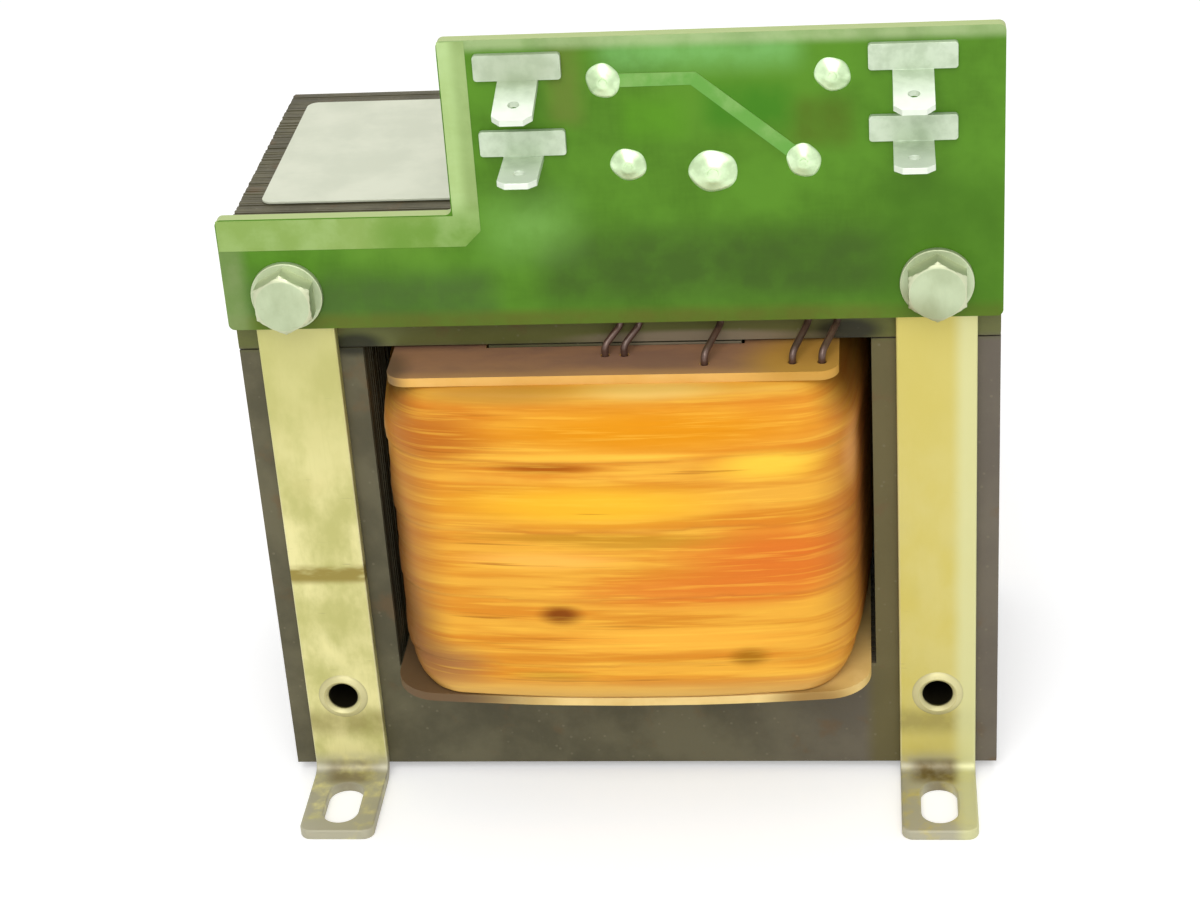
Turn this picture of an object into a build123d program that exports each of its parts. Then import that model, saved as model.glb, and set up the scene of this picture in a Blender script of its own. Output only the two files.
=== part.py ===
from build123d import *
import math
import os

# Open-frame transformer in millimetres. Z is up, the front faces -Y.
# The feet stand on z = 0, and the stack of laminations is centred on x = 0 and y = 0.

# Core laminations
centre_leg = 32.0
outer_leg = 16.0
window_width = 16.0
window_height = 48.0
yoke_height = 16.0
stack_depth = 48.0
pack_count = 12
pack_setback = 0.15

# Feet, each one a folded strap
strap_width = 10.0
strap_thickness = 1.5
strap_above_bolt = 5.0
strap_end_flat = 0.8
bend_inside_radius = 1.2
foot_reach = 15.6
foot_corner = 1.5
slot_width = 4.8
slot_length = 9.0
slot_centre_reach = 9.2

# Bolts at the top corners
bolt_below_top = 7.0
bolt_diameter = 4.0
bolt_hole_clearance = 0.25
hex_across_flats = 7.0
hex_face_diameter = 6.6
hex_chamfer_angle = 60.0
bolt_end_chamfer = 0.4
bolt_head_height = 2.8
nut_height = 3.2
thread_past_nut = 2.0
washer_diameter = 9.0
washer_thickness = 0.8
lock_washer_diameter = 7.2
lock_washer_thickness = 1.0
lock_washer_split = 0.8
sleeve_wall = 0.5
sleeve_clearance = 0.15

# Hollow rivets at the lower corners
rivet_above_base = 12.0
rivet_diameter = 5.0
rivet_wall = 0.5
rivet_lip_diameter = 6.8
rivet_lip_height = 0.5
rivet_clearance = 0.15

# Coil
former_clearance = 0.3
former_wall = 1.2
former_corner = 1.0
former_end_gap = 0.3
flange_thickness = 1.2
flange_overhang = 8.4
lower_flange_side_gap = 0.4
upper_flange_side_gap = 4.0
upper_flange_corner = 2.5
lower_flange_corner = 6.0
lower_flange_side_bow = 0.4
lower_flange_face_bow = 2.0
coil_overhang = 8.6
coil_side_gap = 0.1
coil_corner = 9.0
side_bulge = 3.0
face_bulge = 2.2
primary_build = 2.8
insulation_build = 0.5
wrap_build = 1.8
layer_gap = 0.1
tape_width = 10.0
tape_least_turn = 3.0
tape_step = 0.2
wrap_top_chamfer = 1.4
wrap_bottom_chamfer = 0.5

# Terminal board
board_thickness = 1.6
board_below_bolt = 4.8
board_above_core = 3.2
board_corner = 0.8
tab_width = 66.5
tab_rise = 22.2
lead_hole_clearance = 0.15

# Blade terminals
blade_sheet = 0.8
blade_width = 4.8
blade_length = 8.2
blade_tip_chamfer = 1.0
blade_eye = 1.4
blade_eye_from_tip = 3.2
upper_blade_angle = 77.0
lower_blade_angle = 90.0
blade_foot_width = 10.4
blade_foot_height = 3.2
blade_foot_corner = 0.4
left_blade_inset = 9.5
right_blade_inset = 10.7
blade_upper_drop = 3.3
left_row_pitch = 9.6
right_row_pitch = 8.9
pin_width = 1.0
pin_offset = 3.6
pin_past_board = 1.0
pin_hole_clearance = 0.15

# Winding leads and their solder joints
lead_radius = 0.45
lead_bend = 1.3
lead_setback_behind_board = 3.2
lead_bend_above_core = 1.0
lead_lean = 2.0
primary_start_offset = 13.7
primary_end_offset = 11.3
screen_offset = 1.2
secondary_start_offset = 9.6
secondary_end_offset = 13.2
upper_joint_drop = 5.5
lower_joint_drop = 16.2
screen_joint_drop = 17.3
joint_radius = 2.1
joint_height = 0.9
screen_joint_radius = 2.8
screen_joint_height = 1.1
joint_tip_radius = 0.8

# Plate on top of the core
plate_length = 90.0
plate_depth = 34.5
plate_thickness = 0.3
plate_corner = 1.5
plate_back_shift = 2.25

# Places that follow from the sizes above
core_width = centre_leg + 2 * (window_width + outer_leg)
core_base = strap_thickness
window_floor = core_base + yoke_height
window_roof = window_floor + window_height
core_top = window_roof + yoke_height
core_face = stack_depth / 2
strap_face = core_face + strap_thickness
board_face = strap_face + board_thickness
leg_axis = core_width / 2 - outer_leg / 2
bolt_z = core_top - bolt_below_top
rivet_z = core_base + rivet_above_base
strap_top = bolt_z + strap_above_bolt
bolt_hole_radius = bolt_diameter / 2 + bolt_hole_clearance
sleeve_inside = bolt_diameter / 2 + sleeve_clearance
sleeve_outside = sleeve_inside + sleeve_wall
core_bolt_hole = sleeve_outside + sleeve_clearance
rivet_hole = rivet_diameter / 2 + rivet_clearance
former_floor = window_floor + former_end_gap
former_roof = window_roof - former_end_gap
coil_floor = former_floor + flange_thickness
coil_roof = former_roof - flange_thickness
former_half_x = centre_leg / 2 + former_clearance + former_wall
former_half_y = core_face + former_clearance + former_wall
lower_flange_half_x = centre_leg / 2 + window_width - lower_flange_side_gap - lower_flange_side_bow
upper_flange_half_x = centre_leg / 2 + window_width - upper_flange_side_gap
flange_half_y = core_face + flange_overhang
wrap_outer = core_face + coil_overhang - former_half_y
wrap_outer_x = centre_leg / 2 + window_width - coil_side_gap - side_bulge - former_half_x
wrap_inner = wrap_outer - tape_step - wrap_build
secondary_outer = wrap_inner - layer_gap
insulation_inner = primary_build + layer_gap
secondary_inner = insulation_inner + insulation_build + layer_gap
strip_bottom = bolt_z - board_below_bolt
strip_top = core_top + board_above_core
tab_top = strip_top + tab_rise
tab_left = core_width / 2 - tab_width
tab_centre = core_width / 2 - tab_width / 2
left_blade_x = tab_left + left_blade_inset
right_blade_x = core_width / 2 - right_blade_inset
blade_upper_z = tab_top - blade_upper_drop
left_lower_z = blade_upper_z - left_row_pitch
right_lower_z = blade_upper_z - right_row_pitch
blade_places = (
    ("upper_left_blade", left_blade_x, blade_upper_z, upper_blade_angle),
    ("lower_left_blade", left_blade_x, left_lower_z, lower_blade_angle),
    ("upper_right_blade", right_blade_x, blade_upper_z, upper_blade_angle),
    ("lower_right_blade", right_blade_x, right_lower_z, lower_blade_angle),
)
pin_hole = math.hypot(pin_width, blade_sheet) / 2 + pin_hole_clearance
lead_gap_y = core_face + strap_thickness / 2
lead_hole = lead_radius + lead_hole_clearance
head_seat = board_face + washer_thickness
rear_washer_seat = strap_face
lock_washer_seat = rear_washer_seat + washer_thickness
nut_seat = lock_washer_seat + lock_washer_thickness
bolt_end = nut_seat + nut_height + thread_past_nut

corners = [(-leg_axis, bolt_z), (leg_axis, bolt_z)]
rivet_places = [(-leg_axis, rivet_z), (leg_axis, rivet_z)]

os.makedirs("parts", exist_ok=True)


def facing_front(distance):
    """Plane that faces the front, at this distance in front of the middle of the stack."""
    return Plane.XZ.offset(distance)


# E laminations, in packs of which every other one stands back a little
pack_depth = stack_depth / pack_count
with BuildPart() as e_laminations:
    for pack in range(pack_count):
        setback = pack_setback * (pack % 2)
        with BuildSketch(facing_front(core_face - pack * pack_depth)):
            with Locations((0, core_base + yoke_height / 2)):
                Rectangle(core_width - 2 * setback, yoke_height - 2 * setback)
            for leg_x, leg_width in ((-leg_axis, outer_leg), (0, centre_leg), (leg_axis, outer_leg)):
                with Locations((leg_x, (core_base + window_roof) / 2)):
                    Rectangle(leg_width - 2 * setback, window_roof - core_base - 2 * setback)
            with Locations(*rivet_places):
                Circle(rivet_hole, mode=Mode.SUBTRACT)
        extrude(amount=-pack_depth)
e_laminations.part.label = "e_laminations"
export_step(e_laminations.part, "parts/e_laminations.step")

# I laminations, the upper yoke
with BuildPart() as i_laminations:
    for pack in range(pack_count):
        setback = pack_setback * (pack % 2)
        with BuildSketch(facing_front(core_face - pack * pack_depth)):
            with Locations((0, window_roof + yoke_height / 2)):
                Rectangle(core_width - 2 * setback, yoke_height - 2 * setback)
            with Locations(*corners):
                Circle(core_bolt_hole, mode=Mode.SUBTRACT)
        extrude(amount=-pack_depth)
i_laminations.part.label = "i_laminations"
export_step(i_laminations.part, "parts/i_laminations.step")


def bowed_face(half_x, half_y, side_bow, face_bow, corner, how=Mode.ADD):
    """Plan outline with bowed sides and rounded corners, in the open sketch."""
    bowed_x = half_x + side_bow
    bowed_y = half_y + face_bow
    with BuildSketch(mode=Mode.PRIVATE) as outline:
        with BuildLine():
            ThreePointArc((-half_x, -half_y), (0, -bowed_y), (half_x, -half_y))
            ThreePointArc((half_x, -half_y), (bowed_x, 0), (half_x, half_y))
            ThreePointArc((half_x, half_y), (0, bowed_y), (-half_x, half_y))
            ThreePointArc((-half_x, half_y), (-bowed_x, 0), (-half_x, -half_y))
        make_face()
        fillet(outline.vertices(), radius=corner)
    add(outline.sketch, mode=how)


def coil_face(build, how=Mode.ADD):
    """Plan outline of the coil where it has grown this far out of the former's face, in the open sketch."""
    grown = build / wrap_outer
    half_x = former_half_x + grown * wrap_outer_x
    half_y = former_half_y + build
    corner = former_corner + grown * (coil_corner - former_corner)
    bowed_face(half_x, half_y, side_bulge * grown, face_bulge * grown, corner, how)


def former_bore():
    """Opening of the former round the centre leg, cut from the open sketch."""
    Rectangle(
        centre_leg + 2 * former_clearance,
        stack_depth + 2 * former_clearance,
        mode=Mode.SUBTRACT,
    )


# Each lead: where it leaves the coil (x and distance to the front) and where it meets the board (x and z)
primary_y = former_half_y + primary_build / 2
secondary_y = former_half_y + (secondary_inner + secondary_outer) / 2
primary_start_x = tab_centre - primary_start_offset
primary_end_x = tab_centre - primary_end_offset
screen_x = tab_centre - screen_offset
secondary_start_x = tab_centre + secondary_start_offset
secondary_end_x = tab_centre + secondary_end_offset
upper_joint_z = tab_top - upper_joint_drop
lower_joint_z = tab_top - lower_joint_drop
screen_joint_z = tab_top - screen_joint_drop
lead_routes = {
    "primary_start_lead": (primary_start_x - lead_lean, primary_y, primary_start_x, upper_joint_z),
    "primary_end_lead": (primary_end_x - lead_lean, primary_y, primary_end_x, lower_joint_z),
    "screen_lead": (screen_x - lead_lean, secondary_y, screen_x, screen_joint_z),
    "secondary_start_lead": (secondary_start_x - lead_lean, secondary_y, secondary_start_x, lower_joint_z),
    "secondary_end_lead": (secondary_end_x - lead_lean, secondary_y, secondary_end_x, upper_joint_z),
}

# Coil former, a tube round the centre leg with two end flanges. The lower one is bowed like the coil on it.
with BuildPart() as coil_former:
    with BuildSketch(Plane.XY.offset(former_floor)):
        RectangleRounded(2 * former_half_x, 2 * former_half_y, former_corner)
        former_bore()
    extrude(amount=former_roof - former_floor)
    with BuildSketch(Plane.XY.offset(former_floor)):
        bowed_face(
            lower_flange_half_x,
            flange_half_y,
            lower_flange_side_bow,
            lower_flange_face_bow,
            lower_flange_corner,
        )
        former_bore()
    extrude(amount=flange_thickness)
    with BuildSketch(Plane.XY.offset(coil_roof)):
        RectangleRounded(2 * upper_flange_half_x, 2 * flange_half_y, upper_flange_corner)
        former_bore()
    extrude(amount=flange_thickness)
    with BuildSketch(Plane.XY.offset(coil_roof)):
        for coil_x, coil_y, joint_x, joint_z in lead_routes.values():
            with Locations((coil_x, -coil_y)):
                Circle(lead_hole)
    extrude(amount=flange_thickness, mode=Mode.SUBTRACT)
coil_former.part.label = "coil_former"
export_step(coil_former.part, "parts/coil_former.step")

# Primary winding on the former
with BuildPart() as primary_winding:
    with BuildSketch(Plane.XY.offset(coil_floor)):
        coil_face(primary_build)
        coil_face(layer_gap, Mode.SUBTRACT)
    extrude(amount=coil_roof - coil_floor)
primary_winding.part.label = "primary_winding"
export_step(primary_winding.part, "parts/primary_winding.step")

# Insulation between the windings
with BuildPart() as winding_insulation:
    with BuildSketch(Plane.XY.offset(coil_floor)):
        coil_face(insulation_inner + insulation_build)
        coil_face(insulation_inner, Mode.SUBTRACT)
    extrude(amount=coil_roof - coil_floor)
winding_insulation.part.label = "winding_insulation"
export_step(winding_insulation.part, "parts/winding_insulation.step")

# Secondary winding
with BuildPart() as secondary_winding:
    with BuildSketch(Plane.XY.offset(coil_floor)):
        coil_face(secondary_outer)
        coil_face(secondary_inner, Mode.SUBTRACT)
    extrude(amount=coil_roof - coil_floor)
secondary_winding.part.label = "secondary_winding"
export_step(secondary_winding.part, "parts/secondary_winding.step")

# Outer wrap of film tape between the flanges, in turns that lie a little over each other.
# The lowest turn reaches the lower flange, and takes in a strip too narrow for a turn of its own.
tape_turns = math.ceil((coil_roof - coil_floor - tape_least_turn) / tape_width)
with BuildPart() as coil_wrap:
    for turn in range(tape_turns):
        turn_roof = coil_roof - turn * tape_width
        turn_floor = coil_floor if turn == tape_turns - 1 else turn_roof - tape_width
        with BuildSketch(Plane.XY.offset(turn_floor)):
            coil_face(wrap_outer - tape_step * (turn % 2))
        extrude(amount=turn_roof - turn_floor)
    chamfer(coil_wrap.faces().sort_by(Axis.Z)[-1].edges(), length=wrap_top_chamfer)
    chamfer(coil_wrap.faces().sort_by(Axis.Z)[0].edges(), length=wrap_bottom_chamfer)
    with BuildSketch(Plane.XY.offset(coil_floor)):
        coil_face(wrap_inner)
    extrude(amount=coil_roof - coil_floor, mode=Mode.SUBTRACT)
coil_wrap.part.label = "coil_wrap"
export_step(coil_wrap.part, "parts/coil_wrap.step")


# Feet: a strap that lies on the core and bends outward at the bottom
for name, foot_x, direction in (
    ("front_left_foot", -leg_axis, -1),
    ("front_right_foot", leg_axis, -1),
    ("rear_left_foot", -leg_axis, 1),
    ("rear_right_foot", leg_axis, 1),
):
    with BuildPart() as foot:
        with BuildSketch(Plane.YZ.offset(foot_x)) as profile:
            with BuildLine():
                Polyline(
                    (direction * core_face, strap_top),
                    (direction * core_face, 0),
                    (direction * (core_face + foot_reach), 0),
                    (direction * (core_face + foot_reach), strap_thickness),
                    (direction * strap_face, strap_thickness),
                    (direction * strap_face, strap_top),
                    close=True,
                )
            make_face()
            inside = profile.vertices().sort_by_distance((direction * strap_face, strap_thickness))[0]
            fillet(inside, radius=bend_inside_radius)
            outside = profile.vertices().sort_by_distance((direction * core_face, 0))[0]
            fillet(outside, radius=bend_inside_radius + strap_thickness)
        extrude(amount=strap_width / 2, both=True)
        top_corners = foot.edges().filter_by(Axis.Y).group_by(Axis.Z)[-1]
        fillet(top_corners, radius=(strap_width - strap_end_flat) / 2)
        tip_corners = foot.edges().filter_by(Axis.Z).sort_by(Axis.Y, reverse=direction > 0)[0:2]
        fillet(tip_corners, radius=foot_corner)
        with BuildSketch(facing_front(0)):
            with Locations((foot_x, bolt_z)):
                Circle(bolt_hole_radius)
            with Locations((foot_x, rivet_z)):
                Circle(rivet_hole)
        extrude(amount=-direction * 2 * core_face, mode=Mode.SUBTRACT)
        with BuildSketch(Plane.XY):
            with Locations((foot_x, direction * (core_face + slot_centre_reach))):
                SlotOverall(slot_length, slot_width, rotation=90)
        extrude(amount=strap_thickness, mode=Mode.SUBTRACT)
    foot.part.label = name
    export_step(foot.part, "parts/" + name + ".step")

# Terminal board, an L of which the tall part stands to the right
with BuildPart() as terminal_board:
    with BuildSketch(facing_front(strap_face)) as outline:
        with BuildLine():
            Polyline(
                (-core_width / 2, strip_bottom),
                (core_width / 2, strip_bottom),
                (core_width / 2, tab_top),
                (core_width / 2 - tab_width, tab_top),
                (core_width / 2 - tab_width, strip_top),
                (-core_width / 2, strip_top),
                close=True,
            )
        make_face()
        fillet(outline.vertices(), radius=board_corner)
        with Locations(*corners):
            Circle(bolt_hole_radius, mode=Mode.SUBTRACT)
        for coil_x, coil_y, joint_x, joint_z in lead_routes.values():
            with Locations((joint_x, joint_z)):
                Circle(lead_hole, mode=Mode.SUBTRACT)
        for name, blade_x, row_z, angle in blade_places:
            with Locations((blade_x - pin_offset, row_z), (blade_x + pin_offset, row_z)):
                Circle(pin_hole, mode=Mode.SUBTRACT)
    extrude(amount=board_thickness)
terminal_board.part.label = "terminal_board"
export_step(terminal_board.part, "parts/terminal_board.step")

# Blade terminals: a foot flat on the board, two pins through it and a blade bent forward,
# the upper pair leaning down a little
for name, blade_x, row_z, angle in blade_places:
    lean = math.radians(angle)
    fold_y = -(board_face + blade_sheet)
    fold_z = row_z - blade_foot_height / 2
    blade_plane = Plane(
        origin=(blade_x, fold_y, fold_z),
        x_dir=(1, 0, 0),
        z_dir=(0, -math.cos(lean), math.sin(lean)),
    )
    with BuildPart() as blade:
        with BuildSketch(facing_front(board_face)):
            with Locations((blade_x, row_z)):
                RectangleRounded(blade_foot_width, blade_foot_height, blade_foot_corner)
        extrude(amount=blade_sheet)
        with BuildSketch(Plane(origin=(blade_x, fold_y, fold_z), x_dir=(0, 1, 0), z_dir=(1, 0, 0))):
            with BuildLine():
                Line((0, 0), (blade_sheet, 0))
                ThreePointArc(
                    (blade_sheet, 0),
                    (blade_sheet * math.cos(lean / 2), -blade_sheet * math.sin(lean / 2)),
                    (blade_sheet * math.cos(lean), -blade_sheet * math.sin(lean)),
                )
                Line((blade_sheet * math.cos(lean), -blade_sheet * math.sin(lean)), (0, 0))
            make_face()
        extrude(amount=blade_width / 2, both=True)
        with BuildSketch(blade_plane):
            with BuildLine():
                Polyline(
                    (-blade_width / 2, 0),
                    (-blade_width / 2, -blade_length + blade_tip_chamfer),
                    (-blade_width / 2 + blade_tip_chamfer, -blade_length),
                    (blade_width / 2 - blade_tip_chamfer, -blade_length),
                    (blade_width / 2, -blade_length + blade_tip_chamfer),
                    (blade_width / 2, 0),
                    close=True,
                )
            make_face()
            with Locations((0, -blade_length + blade_eye_from_tip)):
                Circle(blade_eye / 2, mode=Mode.SUBTRACT)
        extrude(amount=-blade_sheet)
        with BuildSketch(facing_front(board_face)):
            with Locations((blade_x - pin_offset, row_z), (blade_x + pin_offset, row_z)):
                Rectangle(pin_width, blade_sheet)
        extrude(amount=-(board_thickness + pin_past_board))
    blade.part.label = name
    export_step(blade.part, "parts/" + name + ".step")

# Winding leads, up through the former, behind the board and forward into it
lead_back_y = lead_gap_y - lead_setback_behind_board
for name, (coil_x, coil_y, joint_x, joint_z) in lead_routes.items():
    with BuildPart() as lead:
        with BuildLine() as route:
            FilletPolyline(
                (coil_x, -coil_y, coil_roof),
                (coil_x, -coil_y, former_roof + lead_bend),
                (joint_x, -lead_gap_y, strip_bottom - lead_bend),
                (joint_x, -lead_gap_y, core_top + lead_bend_above_core),
                (joint_x, -lead_back_y, joint_z),
                (joint_x, -board_face, joint_z),
                radius=lead_bend,
            )
        with BuildSketch(Plane(origin=route.line @ 0, z_dir=route.line % 0)):
            Circle(lead_radius)
        sweep()
    lead.part.label = name
    export_step(lead.part, "parts/" + name + ".step")

# Solder joints, a cone round the end of each lead
with BuildPart() as solder_joints:
    for name, (coil_x, coil_y, joint_x, joint_z) in lead_routes.items():
        wide = screen_joint_radius if name == "screen_lead" else joint_radius
        tall = screen_joint_height if name == "screen_lead" else joint_height
        with BuildSketch(facing_front(board_face)):
            with Locations((joint_x, joint_z)):
                Circle(wide)
        extrude(amount=tall, taper=math.degrees(math.atan2(wide - joint_tip_radius, tall)))
solder_joints.part.label = "solder_joints"
export_step(solder_joints.part, "parts/solder_joints.step")

# Core bolts with hexagon heads, chamfered on the outer face
with BuildPart() as core_bolts:
    with BuildSketch(facing_front(head_seat)):
        with Locations(*corners):
            RegularPolygon(hex_across_flats / 2, 6, major_radius=False)
    extrude(amount=bolt_head_height)
    with BuildSketch(facing_front(head_seat + bolt_head_height)):
        with Locations(*corners):
            Circle(hex_face_diameter / 2)
    extrude(amount=-bolt_head_height, taper=-hex_chamfer_angle, mode=Mode.INTERSECT)
    with BuildSketch(facing_front(head_seat)):
        with Locations(*corners):
            Circle(bolt_diameter / 2)
    extrude(amount=-(head_seat + bolt_end))
    chamfer(core_bolts.edges().group_by(Axis.Y)[-1], length=bolt_end_chamfer)
core_bolts.part.label = "core_bolts"
export_step(core_bolts.part, "parts/core_bolts.step")

# Insulating sleeves round the bolts, inside the core
with BuildPart() as bolt_sleeves:
    with BuildSketch(facing_front(core_face)):
        with Locations(*corners):
            Circle(sleeve_outside)
            Circle(sleeve_inside, mode=Mode.SUBTRACT)
    extrude(amount=-stack_depth)
bolt_sleeves.part.label = "bolt_sleeves"
export_step(bolt_sleeves.part, "parts/bolt_sleeves.step")

# Flat washers under the bolt heads
with BuildPart() as front_washers:
    with BuildSketch(facing_front(board_face)):
        with Locations(*corners):
            Circle(washer_diameter / 2)
            Circle(bolt_hole_radius, mode=Mode.SUBTRACT)
    extrude(amount=washer_thickness)
front_washers.part.label = "front_washers"
export_step(front_washers.part, "parts/front_washers.step")

# Flat washers on the rear straps
with BuildPart() as rear_washers:
    with BuildSketch(facing_front(-rear_washer_seat)):
        with Locations(*corners):
            Circle(washer_diameter / 2)
            Circle(bolt_hole_radius, mode=Mode.SUBTRACT)
    extrude(amount=-washer_thickness)
rear_washers.part.label = "rear_washers"
export_step(rear_washers.part, "parts/rear_washers.step")

# Split lock washers under the nuts
with BuildPart() as lock_washers:
    with BuildSketch(facing_front(-lock_washer_seat)):
        with Locations(*corners):
            Circle(lock_washer_diameter / 2)
            Circle(bolt_hole_radius, mode=Mode.SUBTRACT)
        for corner_x, corner_z in corners:
            with Locations((corner_x, corner_z + lock_washer_diameter / 2)):
                Rectangle(lock_washer_split, lock_washer_diameter, mode=Mode.SUBTRACT)
    extrude(amount=-lock_washer_thickness)
lock_washers.part.label = "lock_washers"
export_step(lock_washers.part, "parts/lock_washers.step")

# Hexagon nuts
with BuildPart() as core_nuts:
    with BuildSketch(facing_front(-nut_seat)):
        with Locations(*corners):
            RegularPolygon(hex_across_flats / 2, 6, major_radius=False)
            Circle(bolt_diameter / 2, mode=Mode.SUBTRACT)
    extrude(amount=-nut_height)
    with BuildSketch(facing_front(-nut_seat - nut_height)):
        with Locations(*corners):
            Circle(hex_face_diameter / 2)
    extrude(amount=nut_height, taper=-hex_chamfer_angle, mode=Mode.INTERSECT)
core_nuts.part.label = "core_nuts"
export_step(core_nuts.part, "parts/core_nuts.step")

# Hollow rivets through both straps and the core, with a flared lip at each end
lip_outer = rivet_lip_diameter / 2
bore = rivet_diameter / 2 - rivet_wall
lip_crest = rivet_diameter / 2
with BuildPart() as hollow_rivets:
    for rivet_x, rivet_height in rivet_places:
        with BuildSketch(Plane(origin=(rivet_x, 0, rivet_height), x_dir=(1, 0, 0), z_dir=(0, 0, 1))):
            with BuildLine():
                Polyline(
                    (bore, -strap_face),
                    (lip_crest, -strap_face - rivet_lip_height),
                    (lip_outer, -strap_face),
                    (rivet_diameter / 2, -strap_face),
                    (rivet_diameter / 2, strap_face),
                    (lip_outer, strap_face),
                    (lip_crest, strap_face + rivet_lip_height),
                    (bore, strap_face),
                    close=True,
                )
            make_face()
        revolve(axis=Axis((rivet_x, 0, rivet_height), (0, 1, 0)))
hollow_rivets.part.label = "hollow_rivets"
export_step(hollow_rivets.part, "parts/hollow_rivets.step")

# Blank plate on top of the core
with BuildPart() as top_plate:
    with BuildSketch(Plane.XY.offset(core_top)):
        with Locations((0, plate_back_shift)):
            RectangleRounded(plate_length, plate_depth, plate_corner)
    extrude(amount=plate_thickness)
top_plate.part.label = "top_plate"
export_step(top_plate.part, "parts/top_plate.step")
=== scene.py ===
import bmesh
import bpy
import math
import random
from mathutils import Matrix, Vector, noise
from mathutils.geometry import intersect_sphere_sphere_2d, tessellate_polygon


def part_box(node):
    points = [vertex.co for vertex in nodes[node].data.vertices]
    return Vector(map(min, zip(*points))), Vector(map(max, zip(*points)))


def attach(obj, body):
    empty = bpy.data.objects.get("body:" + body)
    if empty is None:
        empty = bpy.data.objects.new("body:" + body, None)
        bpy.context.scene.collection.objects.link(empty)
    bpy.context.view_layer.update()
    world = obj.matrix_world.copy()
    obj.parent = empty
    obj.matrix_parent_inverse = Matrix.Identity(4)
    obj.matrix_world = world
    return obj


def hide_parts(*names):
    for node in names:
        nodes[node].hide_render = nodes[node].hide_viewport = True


# Looks of an open-frame transformer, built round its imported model.
# Lengths are in metres. Z is up, the front faces -Y, and the feet stand on z = 0.

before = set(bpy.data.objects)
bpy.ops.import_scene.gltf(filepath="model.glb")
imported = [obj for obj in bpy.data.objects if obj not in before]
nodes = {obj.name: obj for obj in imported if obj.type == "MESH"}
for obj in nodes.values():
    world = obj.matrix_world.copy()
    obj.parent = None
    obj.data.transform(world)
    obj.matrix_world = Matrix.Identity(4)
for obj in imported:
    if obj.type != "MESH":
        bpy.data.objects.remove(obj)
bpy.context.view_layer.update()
mm = 0.001
seed = 7
chance = random.Random(seed)

# Laminations
sheet_pitch = 0.5 * mm
sheet_gap = 0.08 * mm
sheet_edge = 0.35 * mm
sheet_setback = 0.10 * mm
sheet_shift = 0.07 * mm
centre_leg = 32.0 * mm
outer_leg = 16.0 * mm
yoke_clearance = 0.3 * mm
rivet_hole = 2.65 * mm
bolt_hole = 2.95 * mm
hole_segments = 28

# Coil wrap
wrap_columns = 440
wrap_rows = 150
wrap_corner = 9.0 * mm
wrap_side_bow = 3.0 * mm
wrap_face_bow = 2.2 * mm
wrap_inside = 5.0 * mm
wrap_top_rim = 1.4 * mm
wrap_shoulder = 4.5 * mm
wrap_shoulder_height = 9.0 * mm
wrap_bottom_rim = 0.5 * mm
wrap_lower_shoulder = 3.0 * mm
wrap_lower_height = 8.0 * mm
wrap_side_press = 0.08 * mm
press_start = 0.997
wrap_sharp = math.radians(60)

# Relief of the film: lapped turns of tape that wander, ridges of wire and creases. Waves are per metre
tape_width = 10.0 * mm
tape_step = 0.22 * mm
tape_tuck = 1.5
tape_wander = 0.6 * mm
wander_waves = 45
wander_slice = 3.1
wire_pitch = 0.95 * mm
wire_ridge = 0.05 * mm
ridge_wander = 0.25
wrinkle = 0.10 * mm
wrinkle_depth = 0.8
crease_waves = 60
crease_waves_up = 420
crease_fade = 0.8
crease_step = 2.0
crease_octaves = 4

# Board, with copper that stands out under its mask: an L-shaped field at the left and one track, whose
# round ends have points at these turns in radians
tab_left = -18.5 * mm
strip_top = 84.7 * mm
field_border = 0.15 * mm
field_height = 4.2 * mm
field_width = 3.4 * mm
field_cut = 2.0 * mm
track_height = 0.07 * mm
track_width = 1.7 * mm
track_run = 10.6 * mm
track_bend = Vector((-2.2, 1.9)) * mm
round_end = (1.05, 0.52, 0.0, -0.52, -1.05)
lead_radius = 0.45 * mm
blade_foot = 3.2 * mm
blade_names = ("upper_left_blade", "lower_left_blade", "upper_right_blade", "lower_right_blade")
lead_names = (
    "primary_start_lead", "primary_end_lead", "screen_lead", "secondary_start_lead", "secondary_end_lead",
)

# Solder. A mound's profile is a hollow skirt and a wire end, in shares of its radius and height
joint_radius = 2.1 * mm
joint_height = 0.9 * mm
screen_joint_radius = 2.8 * mm
screen_joint_height = 1.1 * mm
joint_columns = 48
pin_solder_radius = 1.25 * mm
pin_solder_height = 0.8 * mm
pin_offset = 3.6 * mm
mound_oval = 0.05
mound_ripple = 0.02
ripple_count = 5
mound_profile = (
    (1.0, 0.0), (0.97, 0.10), (0.84, 0.26), (0.66, 0.46), (0.50, 0.66), (0.38, 0.82),
    (0.30, 0.88), (0.24, 0.885), (0.225, 1.0), (0.16, 1.03), (0.06, 1.04),
)

# Bolts. A ring of the head has a distance behind the face and one inside the chamfer's cone, in millimetres
bolt_radius = 2.0 * mm
head_flat = 3.5 * mm
head_face_radius = 3.3 * mm
head_height = 2.8 * mm
head_rings = ((0.0, 0.16), (0.03, 0.05), (0.10, 0.0), (0.25, 0.0), (0.45, 0.0), (0.8, 0.0))
chamfer_slope = math.tan(math.radians(60))
thread_pitch = 0.7 * mm
thread_depth = 0.36 * mm
thread_steps = 12
thread_end = 0.45 * mm
thread_end_drop = 0.3 * mm
bolt_columns = 96
bolt_sharp = math.radians(24)

# Edges: what counts as sharp, how they are rounded and how squarely a face or a worn edge stands
sharp_angle = math.radians(35)
flat_angle = math.radians(1.5)
weld_reach = 0.001 * mm
bevel_segments = 2
strap_rounding = 0.22 * mm
square_face = 0.985
turned_edge = 0.90

# Textures: roughness of the noise, where it parts two tones, and how thin a zone of the board gets
grain_roughness = 0.55
even_parting = (0.35, 0.65)
soft_parting = (0.34, 0.66)
zone_thinnest = 0.7

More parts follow.
